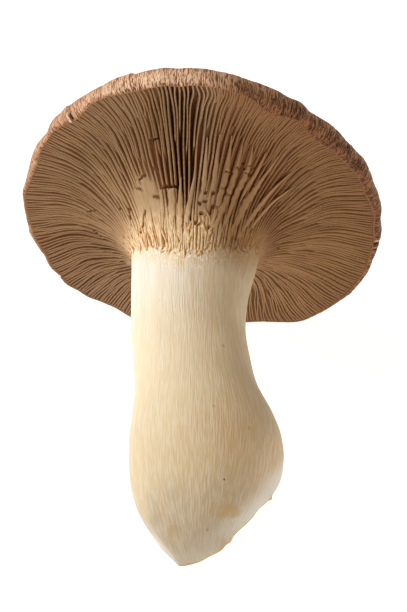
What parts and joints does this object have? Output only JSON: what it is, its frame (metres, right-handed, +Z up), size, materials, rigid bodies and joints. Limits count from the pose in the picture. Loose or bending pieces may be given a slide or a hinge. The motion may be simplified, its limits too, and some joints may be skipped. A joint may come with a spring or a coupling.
{
  "type": "king oyster mushroom",
  "caption": "King oyster mushroom lying on its side: stout pale stem with a knife-trimmed foot, gills running down the neck, and a broad brown cap with a blunt margin.",
  "frame": {"origin": "middle of the bounding box on the surface that the mushroom lies on", "axes": "+Z up; -Y towards the foot of the stem and +Y towards the cap; +X to the right seen from the foot"},
  "size_m": [0.1144, 0.1432, 0.105],
  "materials": {
    "stem_flesh": "satin, moist fibrous flesh",
    "gills": "matt",
    "cap_skin": "matt, fine radial fibres"
  },
  "bodies": {
    "root": {"king_oyster_mushroom": "stem_flesh"}
  },
  "joints": []
}
